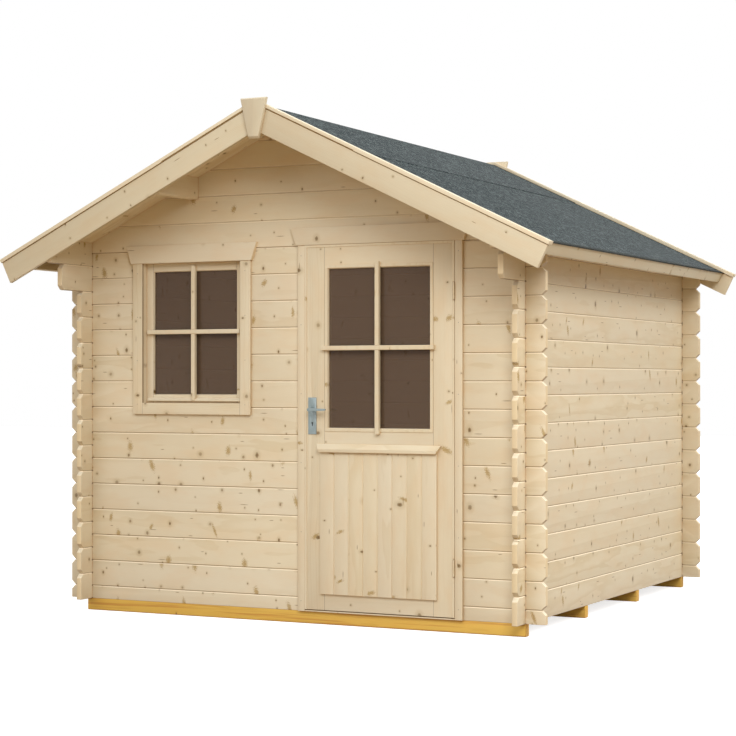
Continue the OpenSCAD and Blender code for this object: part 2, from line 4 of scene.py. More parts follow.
import bmesh
import bpy
import numpy as np
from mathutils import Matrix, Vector


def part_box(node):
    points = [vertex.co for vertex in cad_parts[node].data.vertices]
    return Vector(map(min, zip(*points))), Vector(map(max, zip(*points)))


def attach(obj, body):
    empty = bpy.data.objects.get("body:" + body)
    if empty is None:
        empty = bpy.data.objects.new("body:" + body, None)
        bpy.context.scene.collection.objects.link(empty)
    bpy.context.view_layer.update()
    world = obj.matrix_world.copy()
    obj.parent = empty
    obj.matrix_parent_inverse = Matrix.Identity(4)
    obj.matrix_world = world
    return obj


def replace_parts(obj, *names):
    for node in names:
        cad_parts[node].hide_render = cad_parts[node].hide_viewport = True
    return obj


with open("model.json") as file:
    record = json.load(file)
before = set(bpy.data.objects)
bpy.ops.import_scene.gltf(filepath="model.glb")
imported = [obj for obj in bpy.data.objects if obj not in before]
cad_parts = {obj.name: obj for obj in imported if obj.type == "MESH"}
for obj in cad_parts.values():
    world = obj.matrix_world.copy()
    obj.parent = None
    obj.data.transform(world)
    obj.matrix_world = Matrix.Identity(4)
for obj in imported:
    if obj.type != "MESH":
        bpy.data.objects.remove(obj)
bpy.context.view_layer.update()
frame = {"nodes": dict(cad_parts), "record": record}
print("frame loaded:", len(frame["nodes"]), "nodes")

# ---- measures taken from the frame, in metres ----

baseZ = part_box("left_wall")[0][2]  # foot of the walls
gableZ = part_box("front_gable")[0][2]  # joint under the gables
frontFace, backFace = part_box("front_wall_left")[0][1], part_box("back_wall")[1][1]
logThickness = 0.028
logs = {
    "coursesToGable": 13.5,
    "halfThickness": logThickness / 2,
    "halfSpan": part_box("right_wall")[1][0] - logThickness / 2,  # middle of the house to middle of a wall
    "middleY": (frontFace + backFace) / 2,
}
logHeight = (gableZ - baseZ) / logs["coursesToGable"]
doorMiddle = (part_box("door_leaf")[0][0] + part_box("door_leaf")[1][0]) / 2
windowMiddle = (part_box("window_sash")[0][0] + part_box("window_sash")[1][0]) / 2


# ---- camera ----

view = {"place": (4.4525, -9.1955, 1.1648), "turn": 26.531, "lens": 93.75, "rise": 0.01806}

camera = bpy.data.objects.new("camera", bpy.data.cameras.new("camera"))
camera.location = view["place"]
camera.rotation_euler = (math.radians(90), 0, math.radians(view["turn"]))
camera.data.lens = view["lens"]
camera.data.shift_y = view["rise"]
camera.data.clip_end = 200
bpy.context.scene.collection.objects.link(camera)
bpy.context.scene.camera = camera
bpy.context.scene.view_settings.view_transform = "Standard"


# screen values 0 to 255 as the linear colour that nodes work in
def tone(red, green, blue):
    c = np.array([red, green, blue]) / 255
    linear = np.where(c <= 0.04045, c / 12.92, ((c + 0.055) / 1.055) ** 2.4)
    return (*linear.tolist(), 1.0)


# ---- small helpers for node trees ----


# gives a socket a number, a colour or another node's output
def plug(tree, socket, value):
    if isinstance(value, bpy.types.NodeSocket):
        tree.links.new(value, socket)
    else:
        socket.default_value = value


# a node with its settings, and its inputs by name or place
def addNode(tree, kind, inputs=None, **settings):
    node = tree.nodes.new(kind)
    for key, value in settings.items():
        setattr(node, key, value)
    for key, value in (inputs or {}).items():
        plug(tree, node.inputs[key], value)
    return node


def calc(tree, operation, *values, clamp=False):
    node = addNode(tree, "ShaderNodeMath", dict(enumerate(values)), operation=operation, use_clamp=clamp)
    return node.outputs[0]


def times(tree, product, *factors):
    for factor in factors:
        product = calc(tree, "MULTIPLY", product, factor)
    return product


def plus(tree, a, b):
    return calc(tree, "ADD", a, b)


def minus(tree, a, b):
    return calc(tree, "SUBTRACT", a, b)


def calcVector(tree, operation, *values):
    node = addNode(tree, "ShaderNodeVectorMath", dict(enumerate(values)), operation=operation)
    return node.outputs["Value" if operation == "LENGTH" else "Vector"]


def joinXyz(tree, x, y, z):
    return addNode(tree, "ShaderNodeCombineXYZ", {"X": x, "Y": y, "Z": z}).outputs[0]


def splitXyz(tree, vector):
    return addNode(tree, "ShaderNodeSeparateXYZ", {0: vector}).outputs


# smooth step from 0 at low to 1 at high
def rise(tree, value, low, high):
    inputs = {"Value": value, "From Min": low, "From Max": high}
    return addNode(tree, "ShaderNodeMapRange", inputs, interpolation_type="SMOOTHSTEP").outputs["Result"]


# value carried from 0..1 to low..high
def spread(tree, value, low, high):
    inputs = {"Value": value, "To Min": low, "To Max": high}
    return addNode(tree, "ShaderNodeMapRange", inputs).outputs["Result"]


def blend(tree, factor, a, b, kind="MIX"):
    node = addNode(tree, "ShaderNodeMix", data_type="RGBA", blend_type=kind)
    plug(tree, node.inputs[0], factor)
    plug(tree, node.inputs[6], a)
    plug(tree, node.inputs[7], b)
    return node.outputs[2]


def pick(tree, factor, a, b):
    return addNode(tree, "ShaderNodeMix", {0: factor, 2: a, 3: b}, data_type="FLOAT").outputs[0]


def noise(tree, vector, scale, detail=2, roughness=0.5):
    inputs = {"Vector": vector, "Scale": scale, "Detail": detail, "Roughness": roughness}
    return addNode(tree, "ShaderNodeTexNoise", inputs).outputs["Fac"]


positionInput = ("Position", "Vector", (0, 0, 0))


# an empty shader group; inputs are (name, kind, value), outputs (name, kind)
def newGroup(name, inputs, outputs):
    tree = bpy.data.node_groups.new(name, "ShaderNodeTree")
    for label, kind, value in inputs:
        socket = tree.interface.new_socket(label, in_out="INPUT", socket_type="NodeSocket" + kind)
        socket.default_value = value
    for label, kind in outputs:
        tree.interface.new_socket(label, in_out="OUTPUT", socket_type="NodeSocket" + kind)
    start = tree.nodes.new("NodeGroupInput")
    end = tree.nodes.new("NodeGroupOutput")
    return tree, start.outputs, end.inputs


def useGroup(tree, group, inputs=None):
    node = tree.nodes.new("ShaderNodeGroup")
    node.node_tree = group
    for key, value in (inputs or {}).items():
        plug(tree, node.inputs[key], value)
    return node.outputs


# ---- shader groups ----

spruceTones = {
    "pale": tone(221, 208, 180),
    "rosy": tone(222, 205, 174),
    "ring": tone(202, 180, 138),
    "knot": tone(108, 80, 30),
    "knotRim": tone(92, 68, 38),
    "smudge": tone(168, 138, 78),
    "pocket": tone(132, 102, 62),
    "endGrain": tone(224, 203, 163),
    # painted shade in crevices and where parts meet
    "creviceShade": tone(208, 160, 100),
    # painted shade in the small gaps at the corner crossings
    "gap": tone(96, 68, 40),
    # dark joints, partly painted shade on the underside of the board above
    "joint": tone(112, 82, 46),
    # painted highlight on upper edges and on faces turned up
    "edge": tone(252, 238, 210),
    # painted shade on faces turned down
    "bevel": tone(132, 96, 58),
}

# marks in the wood: the cell of a board that may hold one, how far the cells shift from board to board,
# the share of cells that do, how ragged the mark is, its half sizes and how well it covers the wood
woodMarks = {
    "knot": {"cell": (0.125, 0.06), "shift": 9.0, "share": 1.0, "ragged": 0.7, "half": (0.003, 0.009)},
    "smudge": {
        "cell": (0.21, 0.13),
        "shift": 5.0,
        "share": 0.9,
        "ragged": 2.6,
        "halfLength": (0.007, 0.015),
        "halfHeight": (0.016, 0.032),
        "cover": 0.85,
    },
    "pocket": {
        "cell": (0.23, 0.045),
        "shift": 7.0,
        "share": 0.35,
        "ragged": 0.6,
        "halfLength": (0.008, 0.024),
        "halfHeight": 0.0017,
        "cover": 0.8,
    },
}
woodRings = {"year": (0.004, 0.007), "pithAside": (-0.05, 0.05), "pithBelow": (0.035, 0.085), "wave": 0.035}


# spruce as a solid: rings are circles round a pith line beside the board, stretched along it.
# Position is in the board's own directions: X along the grain, Y across, Z through.
def makeSpruceGroup():
    tree, given, out = newGroup(
        "spruce",
        [
            positionInput,
            ("Board", "Float", 0.0),
            ("Knots", "Float", 0.5),
            ("Rings", "Float", 0.5),
            ("End Grain", "Float", 0.0),
        ],
        [("Color", "Color"), ("Roughness", "Float"), ("Height", "Float")],
    )
    chance = addNode(tree, "ShaderNodeTexWhiteNoise", {"W": given["Board"]}, noise_dimensions="1D")
    chances = splitXyz(tree, chance.outputs["Color"])
    place = splitXyz(tree, given["Position"])
    along = plus(tree, place[0], times(tree, chances[0], 17))
    across, through = place[1], place[2]
    ragged = minus(tree, noise(tree, given["Position"], 210, 2), 0.5)

    # one point to a cell, of which only some carry a mark; none shows on end grain
    def findMarks(mark):
        length, height = mark["cell"]
        inCell = joinXyz(
            tree,
            calc(tree, "DIVIDE", along, length),
            plus(tree, calc(tree, "DIVIDE", across, height), times(tree, chances[1], mark["shift"])),
            times(tree, chances[2], mark["shift"]),
        )
        inputs = {"Vector": inCell, "Scale": 1.0}
        points = addNode(tree, "ShaderNodeTexVoronoi", inputs, voronoi_dimensions="2D")
        toPoint = calcVector(tree, "SUBTRACT", inCell, points.outputs["Position"])
        toPoint = splitXyz(tree, calcVector(tree, "MULTIPLY", toPoint, (length, height, 0)))
        kind = splitXyz(tree, points.outputs["Color"])
        isMark = calc(tree, "LESS_THAN", kind[0], times(tree, given["Knots"], mark["share"]))
        return toPoint, kind, times(tree, isMark, minus(tree, 1.0, given["End Grain"]))

    # distance from a mark's point in units of its half length and half height
    def oval(toPoint, halfLength, halfHeight, fray):
        u = calc(tree, "DIVIDE", toPoint[0], halfLength)
        v = calc(tree, "DIVIDE", toPoint[1], halfHeight)
        away = calc(tree, "SQRT", plus(tree, times(tree, u, u), times(tree, v, v)))
        return plus(tree, away, times(tree, ragged, fray))

    mark = woodMarks["knot"]
    toKnot, knotKind, isKnot = findMarks(mark)
    half = spread(tree, calc(tree, "POWER", knotKind[1], 3.0), *mark["half"])  # few knots are large
    away = oval(toKnot, half, times(tree, half, spread(tree, knotKind[2], 0.9, 1.5)), mark["ragged"])
    core = times(tree, rise(tree, away, 1.3, 0.4), isKnot)
    rim = times(tree, rise(tree, away, 1.25, 0.95), rise(tree, away, 0.6, 0.9), isKnot)
    halo = times(tree, rise(tree, away, 3.6, 0.8), isKnot)

    mark = woodMarks["smudge"]
    toSmudge, kind, isSmudge = findMarks(mark)
    lean = times(tree, toSmudge[1], spread(tree, kind[1], -0.4, 0.4))
    leaning = (plus(tree, toSmudge[0], lean), toSmudge[1])
    halfLength = spread(tree, kind[2], *mark["halfLength"])
    halfHeight = spread(tree, kind[1], *mark["halfHeight"])
    away = oval(leaning, halfLength, halfHeight, mark["ragged"])
    smudge = times(tree, rise(tree, away, 1.4, 0.3), isSmudge)

    mark = woodMarks["pocket"]
    toPocket, kind, isPocket = findMarks(mark)
    away = oval(toPocket, spread(tree, kind[1], *mark["halfLength"]), mark["halfHeight"], mark["ragged"])
    pocket = times(tree, rise(tree, away, 1.3, 0.5), isPocket)

    # rings bend round the knots and waver along the board
    waver = noise(tree, joinXyz(tree, times(tree, along, 1.6), given["Board"], 0.0), 1.0, 2)
    waver = times(tree, minus(tree, waver, 0.5), woodRings["wave"])
    bend = times(tree, halo, toKnot[1], 0.8)
    bent = minus(tree, plus(tree, across, waver), bend)
    sideways = minus(tree, bent, spread(tree, chances[1], *woodRings["pithAside"]))
    inward = plus(tree, through, spread(tree, chances[2], *woodRings["pithBelow"]))
    toPith = calc(tree, "SQRT", plus(tree, times(tree, sideways, sideways), times(tree, inward, inward)))
    years = calc(tree, "DIVIDE", toPith, spread(tree, chances[0], *woodRings["year"]))
    driftAt = joinXyz(tree, times(tree, along, 2.6), times(tree, across, 14), through)
    years = plus(tree, years, times(tree, noise(tree, driftAt, 1.0, 2), 1.8))
    year = calc(tree, "FRACT", years)
    late = times(tree, rise(tree, year, 0.55, 0.92), rise(tree, year, 1.0, 0.94))
    inputs = {"W": calc(tree, "FLOOR", years)}
    yearChance = addNode(tree, "ShaderNodeTexWhiteNoise", inputs, noise_dimensions="1D")
    late = times(tree, late, spread(tree, yearChance.outputs["Value"], 0.15, 1.0))
    late = times(tree, late, times(tree, spread(tree, chances[1], 0.35, 1.2), given["Rings"]))

    # fibres, and broad patches of warmer and cooler wood
    fibreAt = joinXyz(tree, times(tree, along, 24), times(tree, bent, 700), times(tree, through, 700))
    fibre = noise(tree, fibreAt, 1.0, 2)
    patchAt = joinXyz(tree, times(tree, along, 4.5), times(tree, across, 11), given["Board"])
    patch = noise(tree, patchAt, 1.0, 3, 0.55)

    color = blend(tree, rise(tree, patch, 0.42, 0.68), spruceTones["pale"], spruceTones["rosy"])
    color = blend(tree, late, color, spruceTones["ring"])
    color = blend(tree, times(tree, given["End Grain"], 0.85), color, spruceTones["endGrain"])
    value = plus(tree, spread(tree, chances[2], 0.985, 1.01), times(tree, minus(tree, fibre, 0.5), 0.08))
    value = plus(tree, value, times(tree, minus(tree, patch, 0.5), -0.06))
    shift = addNode(tree, "ShaderNodeHueSaturation", {"Value": value, "Color": color})
    plug(tree, shift.inputs["Saturation"], spread(tree, chances[0], 0.95, 1.05))
    plug(tree, shift.inputs["Hue"], spread(tree, chances[1], 0.4985, 0.5015))
    color = shift.outputs["Color"]
    depth = spread(tree, knotKind[2], 0.45, 1.0)  # some knots are faint
    color = blend(tree, times(tree, smudge, woodMarks["smudge"]["cover"]), color, spruceTones["smudge"])
    color = blend(tree, times(tree, halo, 0.3), color, spruceTones["smudge"])
    color = blend(tree, times(tree, core, depth), color, spruceTones["knot"])
    color = blend(tree, times(tree, rim, depth, 0.35), color, spruceTones["knotRim"])
    color = blend(tree, times(tree, pocket, woodMarks["pocket"]["cover"]), color, spruceTones["pocket"])
    plug(tree, out["Color"], color)
    plug(tree, out["Roughness"], minus(tree, spread(tree, fibre, 0.52, 0.68), times(tree, core, 0.15)))
    height = plus(tree, times(tree, fibre, 0.35), times(tree, late, 0.35))
    height = minus(tree, height, times(tree, calc(tree, "MAXIMUM", rim, pocket), 0.8))
    plug(tree, out["Height"], height)
    return tree


# how shut in a point is by what lies within reach of it: the mask for painted shade in crevices and where
# parts meet
def makeCreviceShadeGroup():
    tree, given, out = newGroup("creviceShade", [("Reach", "Float", 0.01)], [("Mask", "Float")])
    around = addNode(tree, "ShaderNodeAmbientOcclusion", {"Distance": given["Reach"]}, samples=6)
    plug(tree, out["Mask"], rise(tree, around.outputs["AO"], 0.8, 0.25))
    return tree


# painted shade of the small gaps where the joints of two walls meet at their crossing, in all four corners
def makeCornerGapShadeGroup():
    tree, given, out = newGroup(
        "cornerGapShade",
        [positionInput, ("Course", "Float", 0.13), ("Foot", "Float", 0.0)],
        [("Mask", "Float")],
    )
    x, y, z = splitXyz(tree, given["Position"])

    # distance from the nearer face of the walls on either side of centre
    def toFace(value, centre):
        fromCentre = calc(tree, "ABSOLUTE", minus(tree, value, centre))
        fromPlane = calc(tree, "ABSOLUTE", minus(tree, fromCentre, logs["halfSpan"]))
        return minus(tree, fromPlane, logs["halfThickness"])

    half = times(tree, given["Course"], 0.5)
    steps = calc(tree, "DIVIDE", minus(tree, z, given["Foot"]), half)
    fromJoint = times(tree, minus(tree, steps, calc(tree, "ROUND", steps)), half)
    isRear = calc(tree, "GREATER_THAN", y, logs["middleY"])  # there the gap is narrower and longer
    fromJoint = times(tree, fromJoint, spread(tree, isRear, 1.0, 0.25))
    away = calcVector(tree, "LENGTH", joinXyz(tree, toFace(x, 0.0), toFace(y, logs["middleY"]), fromJoint))
    plug(tree, out["Mask"], rise(tree, times(tree, away, spread(tree, isRear, 1.0, 1.5)), 0.0065, 0.0025))
    return tree


# boards side by side: which one a point is in, its distance from that board's middle, and two masks: a dark
# joint line, partly painted shade, and a painted highlight
def makeRowGroup():
    tree, given, out = newGroup(
        "boardRow",
        [
            ("Across", "Float", 0.0),
            ("Start", "Float", 0.0),
            ("Width", "Float", 0.1),
            ("Line", "Float", 0.003),
        ],
        [("From Middle", "Float"), ("Number", "Float"), ("Joint", "Float"), ("Highlight", "Float")],
    )
    steps = calc(tree, "DIVIDE", minus(tree, given["Across"], given["Start"]), given["Width"])
    number = calc(tree, "FLOOR", steps)
    fromMiddle = times(tree, minus(tree, minus(tree, steps, number), 0.5), given["Width"])
    toJoint = minus(tree, times(tree, given["Width"], 0.5), calc(tree, "ABSOLUTE", fromMiddle))
    plug(tree, out["From Middle"], fromMiddle)
    plug(tree, out["Number"], number)
    # the dark joint line reaches further onto the low side of the board above, as painted shade there; the
    # painted highlight lies on the upper edge of the board below
    isHigh = calc(tree, "GREATER_THAN", fromMiddle, 0.0)
    reach = times(tree, given["Line"], spread(tree, isHigh, 1.0, 0.35))
    joint = rise(tree, toJoint, reach, times(tree, reach, 0.4))
    plug(tree, out["Joint"], joint)
    edge = rise(tree, toJoint, times(tree, given["Line"], 2.6), times(tree, given["Line"], 1.8))
    plug(tree, out["Highlight"], calc(tree, "SUBTRACT", times(tree, edge, isHigh), joint, clamp=True))
    return tree


# stiles with rails between them. Half Gap: from the middle to a stile; Between: a level between the rails
def makeFramingGroup():
    tree, given, out = newGroup(
        "framing",
        [positionInput, ("Middle", "Float", 0.0), ("Half Gap", "Float", 0.3), ("Between", "Float", 1.0)],
        [("Position", "Vector"), ("Board", "Float"), ("Joint", "Float")],
    )
    x, y, z = splitXyz(tree, given["Position"])
    fromMiddle = minus(tree, x, given["Middle"])
    aside = calc(tree, "ABSOLUTE", fromMiddle)
    isLevel = calc(tree, "LESS_THAN", aside, given["Half Gap"])
    upright = joinXyz(tree, z, fromMiddle, y)
    level = joinXyz(tree, fromMiddle, z, y)
    node = addNode(tree, "ShaderNodeMix", {0: isLevel, 4: upright, 5: level}, data_type="VECTOR")
    plug(tree, out["Position"], node.outputs[1])
    uprightNumber = calc(tree, "GREATER_THAN", fromMiddle, 0.0)
    levelNumber = plus(tree, calc(tree, "GREATER_THAN", z, given["Between"]), 2.0)
    plug(tree, out["Board"], pick(tree, isLevel, uprightNumber, levelNumber))
    toJoint = calc(tree, "ABSOLUTE", minus(tree, aside, given["Half Gap"]))
    plug(tree, out["Joint"], rise(tree, toJoint, 0.0016, 0.0004))
    return tree


# both roof slopes unfolded: how far down from the ridge, how far above the ridge line's level
def makeSlopeGroup():
    tree, given, out = newGroup(
        "roofSlope",
        [positionInput, ("Pitch", "Float", 0.45)],
        [("Down", "Float"), ("Up", "Float"), ("Side", "Float")],
    )
    x, y, z = splitXyz(tree, given["Position"])
    reach = calc(tree, "ABSOLUTE", x)
    cosine, sine = calc(tree, "COSINE", given["Pitch"]), calc(tree, "SINE", given["Pitch"])
    plug(tree, out["Down"], minus(tree, times(tree, reach, cosine), times(tree, z, sine)))
    plug(tree, out["Up"], plus(tree, times(tree, reach, sine), times(tree, z, cosine)))
    plug(tree, out["Side"], calc(tree, "GREATER_THAN", x, 0.0))
    return tree


# fine grit: a mask of light and dark grains and a height
def makeGritGroup():
    tree, given, out = newGroup(
        "grit",
        [positionInput, ("Grain", "Float", 0.002)],
        [("Mask", "Float"), ("Height", "Float")],
    )
    scale = calc(tree, "DIVIDE", 1.0, given["Grain"])
    grains = addNode(tree, "ShaderNodeTexVoronoi", {"Vector": given["Position"], "Scale": scale})
    plug(tree, out["Mask"], splitXyz(tree, grains.outputs["Color"])[0])
    plug(tree, out["Height"], rise(tree, grains.outputs["Distance"], 0.7, 0.1))
    return tree


spruce = makeSpruceGroup()
creviceShade = makeCreviceShadeGroup()
cornerGapShade = makeCornerGapShadeGroup()
boardRow = makeRowGroup()
framing = makeFramingGroup()
roofSlope = makeSlopeGroup()
grit = makeGritGroup()
print("shader groups made")


# ---- materials ----


# a new material with its shader, and the object's own coordinates
def newMaterial(name):
    material = bpy.data.materials.new(name)
    material.use_nodes = True
    tree = material.node_tree
    shader = tree.nodes["Principled BSDF"]
    here = tree.nodes.new("ShaderNodeTexCoord").outputs
    return material, tree, shader, here


def addBump(tree, shader, height, distance):
    bump = addNode(tree, "ShaderNodeBump", {"Height": height, "Distance": distance, "Strength": 1.0})
    plug(tree, shader.inputs["Normal"], bump.outputs["Normal"])


timber = {
    "creviceShadeReach": 0.01,
    "creviceShadeCover": 0.6,
    "gapCover": 0.75,
    "streakCover": 0.8,
    "jointAtEnds": 0.4,  # share of a joint's shade that is left on end grain
    "bump": 0.0004,
}


# planed spruce. lay(tree, here) gives the position in the board, its number, the grain's direction, and the
# masks of its joint and of the painted highlight on the edge below, or None. The bevel pair (low, high): how
# far log ends are toned by facing, painted shade on faces turned down and a painted highlight on faces turned
# up
def spruceMaterial(
    name,
    lay,
    knots,
    rings,
    tint=None,
    paintedBevelLight=None,
    jointShade=0.6,
    jointDepth=0.0,
    edgeHighlight=0.0,
    streaks=None,
):
    material, tree, shader, here = newMaterial(name)
    position, board, alongGrain, joint, edge = lay(tree, here)
    facing = calcVector(tree, "LENGTH", calcVector(tree, "MULTIPLY", here["Normal"], alongGrain))
    endGrain = rise(tree, facing, 0.75, 0.95)
    inputs = {"Position": position, "Board": board, "Knots": knots, "Rings": rings, "End Grain": endGrain}
    wood = useGroup(tree, spruce, inputs)
    color, height = wood["Color"], wood["Height"]
    # painted shade: warm brown where parts meet and in crevices, from an occlusion mask
    creviceShadeMask = useGroup(tree, creviceShade, {"Reach": timber["creviceShadeReach"]})["Mask"]
    color = blend(tree, times(tree, creviceShadeMask, timber["creviceShadeCover"]), color, spruceTones["creviceShade"])
    if paintedBevelLight is not None:
        # painted shade: dark dots and lines in the gaps at the corner crossings
        inputs = {"Position": here["Object"], "Course": logHeight, "Foot": baseZ}
        gap = useGroup(tree, cornerGapShade, inputs)["Mask"]
        color = blend(tree, times(tree, gap, timber["gapCover"]), color, spruceTones["gap"])
        # painted light by facing: painted shade on faces turned down, a painted highlight on faces turned up
        upward = splitXyz(tree, here["Normal"])[2]
        isLower, isUpper = rise(tree, upward, -0.4, -0.6), rise(tree, upward, 0.4, 0.6)
        color = blend(tree, times(tree, isLower, paintedBevelLight[0]), color, spruceTones["bevel"])
        color = blend(tree, times(tree, isUpper, paintedBevelLight[1]), color, spruceTones["edge"])
    if tint is not None:
        color = blend(tree, 1.0, color, tint, "MULTIPLY")
    if streaks is not None:
        x, y, z = splitXyz(tree, position)
        at = joinXyz(tree, times(tree, x, 1.6), times(tree, y, 110), times(tree, z, 110))
        mask = rise(tree, noise(tree, at, 1.0, 3), 0.52, 0.62)
        color = blend(tree, times(tree, mask, timber["streakCover"]), color, streaks)
    # dark joint line, partly painted shade on the low side of the board above
    if joint is not None:
        shade = spread(tree, endGrain, jointShade, jointShade * timber["jointAtEnds"])
        shade = times(tree, joint, shade)
        color = blend(tree, shade, color, spruceTones["joint"])
        height = minus(tree, height, times(tree, joint, jointDepth))
    # painted highlight on the upper edge of the board below a joint
    if edge is not None:
        color = blend(tree, times(tree, edge, edgeHighlight), color, spruceTones["edge"])
    plug(tree, shader.inputs["Base Color"], color)
    plug(tree, shader.inputs["Roughness"], wood["Roughness"])
    addBump(tree, shader, height, timber["bump"])
    return material


# added to a board's number where value is above 0, so that the house's two sides differ
def farShift(tree, value, shift):
    return times(tree, calc(tree, "GREATER_THAN", value, 0.0), shift)


# the object's coordinates by letter, the letter of a board's thickness, and the grain's direction
def boardAxes(tree, here, along, across):
    at = dict(zip("XYZ", splitXyz(tree, here["Object"])))
    through = (set("XYZ") - {along, across}).pop()
    return at, through, tuple(float(axis == along) for axis in "XYZ")


# logs or boards one above the other or side by side, along X, Y or Z.
# side: boards on the two sides of the house differ; line: half width of the joint, if it shows
def layRow(along, across, start, width, side=None, line=None):
    def lay(tree, here):
        at, through, direction = boardAxes(tree, here, along, across)
        inputs = {"Across": at[across], "Start": start, "Width": width, "Line": line or 0.003}
        row = useGroup(tree, boardRow, inputs)
        number = row["Number"]
        if side:
            number = plus(tree, number, farShift(tree, at[side], 41.0))
        position = joinXyz(tree, at[along], row["From Middle"], at[through])
        if line is None:
            return position, number, direction, None, None
        return position, number, direction, row["Joint"], row["Highlight"]

    return lay


# single boards along X, Y or Z; seed tells them apart, and so does the side they are on
def laySingle(along, across, seed, side="X"):
    def lay(tree, here):
        at, through, direction = boardAxes(tree, here, along, across)
        number = plus(tree, farShift(tree, at[side], 7.0), seed)
        return joinXyz(tree, at[along], at[across], at[through]), number, direction, None, None

    return lay


noDirection = (0.0, 0.0, 0.0)  # boards whose end grain isn't shown


# stiles and rails round an opening
def layFraming(middle, halfGap, between, seed):
    def lay(tree, here):
        inputs = {"Position": here["Object"], "Middle": middle, "Half Gap": halfGap, "Between": between}
        boards = useGroup(tree, framing, inputs)
        return boards["Position"], plus(tree, boards["Board"], seed), noDirection, boards["Joint"], None

    return lay


roof = {
    "pitch": math.radians(25.75),
    "boardWidth": 0.0878,
    "boardThickness": 0.017,
    "grooveDepth": 0.0035,
    "grooveWidth": 0.007,
}


# boards down the roof slope; row is where the first one starts and how wide they are.
# Single ones lie flat on the slope or stand upright on it
def laySlope(face, seed, row=None):
    def lay(tree, here):
        slope = useGroup(tree, roofSlope, {"Position": here["Object"], "Pitch": roof["pitch"]})
        y = splitXyz(tree, here["Object"])[1]
        number = plus(tree, times(tree, slope["Side"], 5.0), seed)
        if row:
            boards = useGroup(tree, boardRow, {"Across": y, "Start": row[0], "Width": row[1]})
            number = plus(tree, number, times(tree, boards["Number"], 3.7))
            position = joinXyz(tree, slope["Down"], boards["From Middle"], slope["Up"])
        elif face == "upright":
            position = joinXyz(tree, slope["Down"], slope["Up"], y)
        else:
            position = joinXyz(tree, slope["Down"], y, slope["Up"])
        return position, number, noDirection, None, None

    return lay


layAcross = layRow("X", "Z", baseZ - logHeight / 2, logHeight, "Y", 0.0018)
layAlong = layRow("Y", "Z", baseZ, logHeight, "X", 0.002)
acrossLook = {"rings": 0.42, "paintedBevelLight": (0.5, 0.8), "jointShade": 0.6, "edgeHighlight": 0.22}
gableLook = {"rings": 0.42, "paintedBevelLight": (0.5, 0.8), "jointShade": 0.3}
alongLook = {"rings": 0.42, "paintedBevelLight": (0.12, 0.12), "jointShade": 0.85, "edgeHighlight": 1.0}
wallAcross = spruceMaterial("logsAcross", layAcross, 0.5, **acrossLook)
gableLogs = spruceMaterial("gableLogs", layAcross, 0.25, **gableLook)
rightLogs = spruceMaterial("logsRightOfDoor", layAcross, 0.26, **acrossLook)
backLogs = spruceMaterial("backLogs", layAcross, 0.32, **acrossLook)
wallAlong = spruceMaterial("logsAlong", layAlong, 0.42, **alongLook)
treated = {"tint": tone(255, 222, 118), "streaks": tone(196, 140, 58)}
skidWood = spruceMaterial("treatedSkids", laySingle("X", "Z", 311, "Y"), 0.05, 1.0, **treated)
print("log materials made")

felt = {
    "grain": 0.0045,
    "dustGrain": 0.0022,
    "tuftGrain": 0.014,
    "black": tone(12, 20, 23),
    "grey": tone(38, 48, 51),
    "paleClump": tone(100, 114, 113),
    "darkClump": tone(28, 36, 39),
    "paleTuft": tone(124, 136, 134),
    "darkTuft": tone(24, 32, 38),
    "dust": tone(132, 143, 141),
    "broad": tone(47, 57, 59),
    "eaveDarkStripShade": tone(30, 32, 26),
    "cutEdgeBrown": tone(160, 132, 90),
    "darkAtEaves": (0.035, 0.015),  # the dark band begins and is full, from the edge
    "shadeAtStrips": (0.03, 0.008),
}


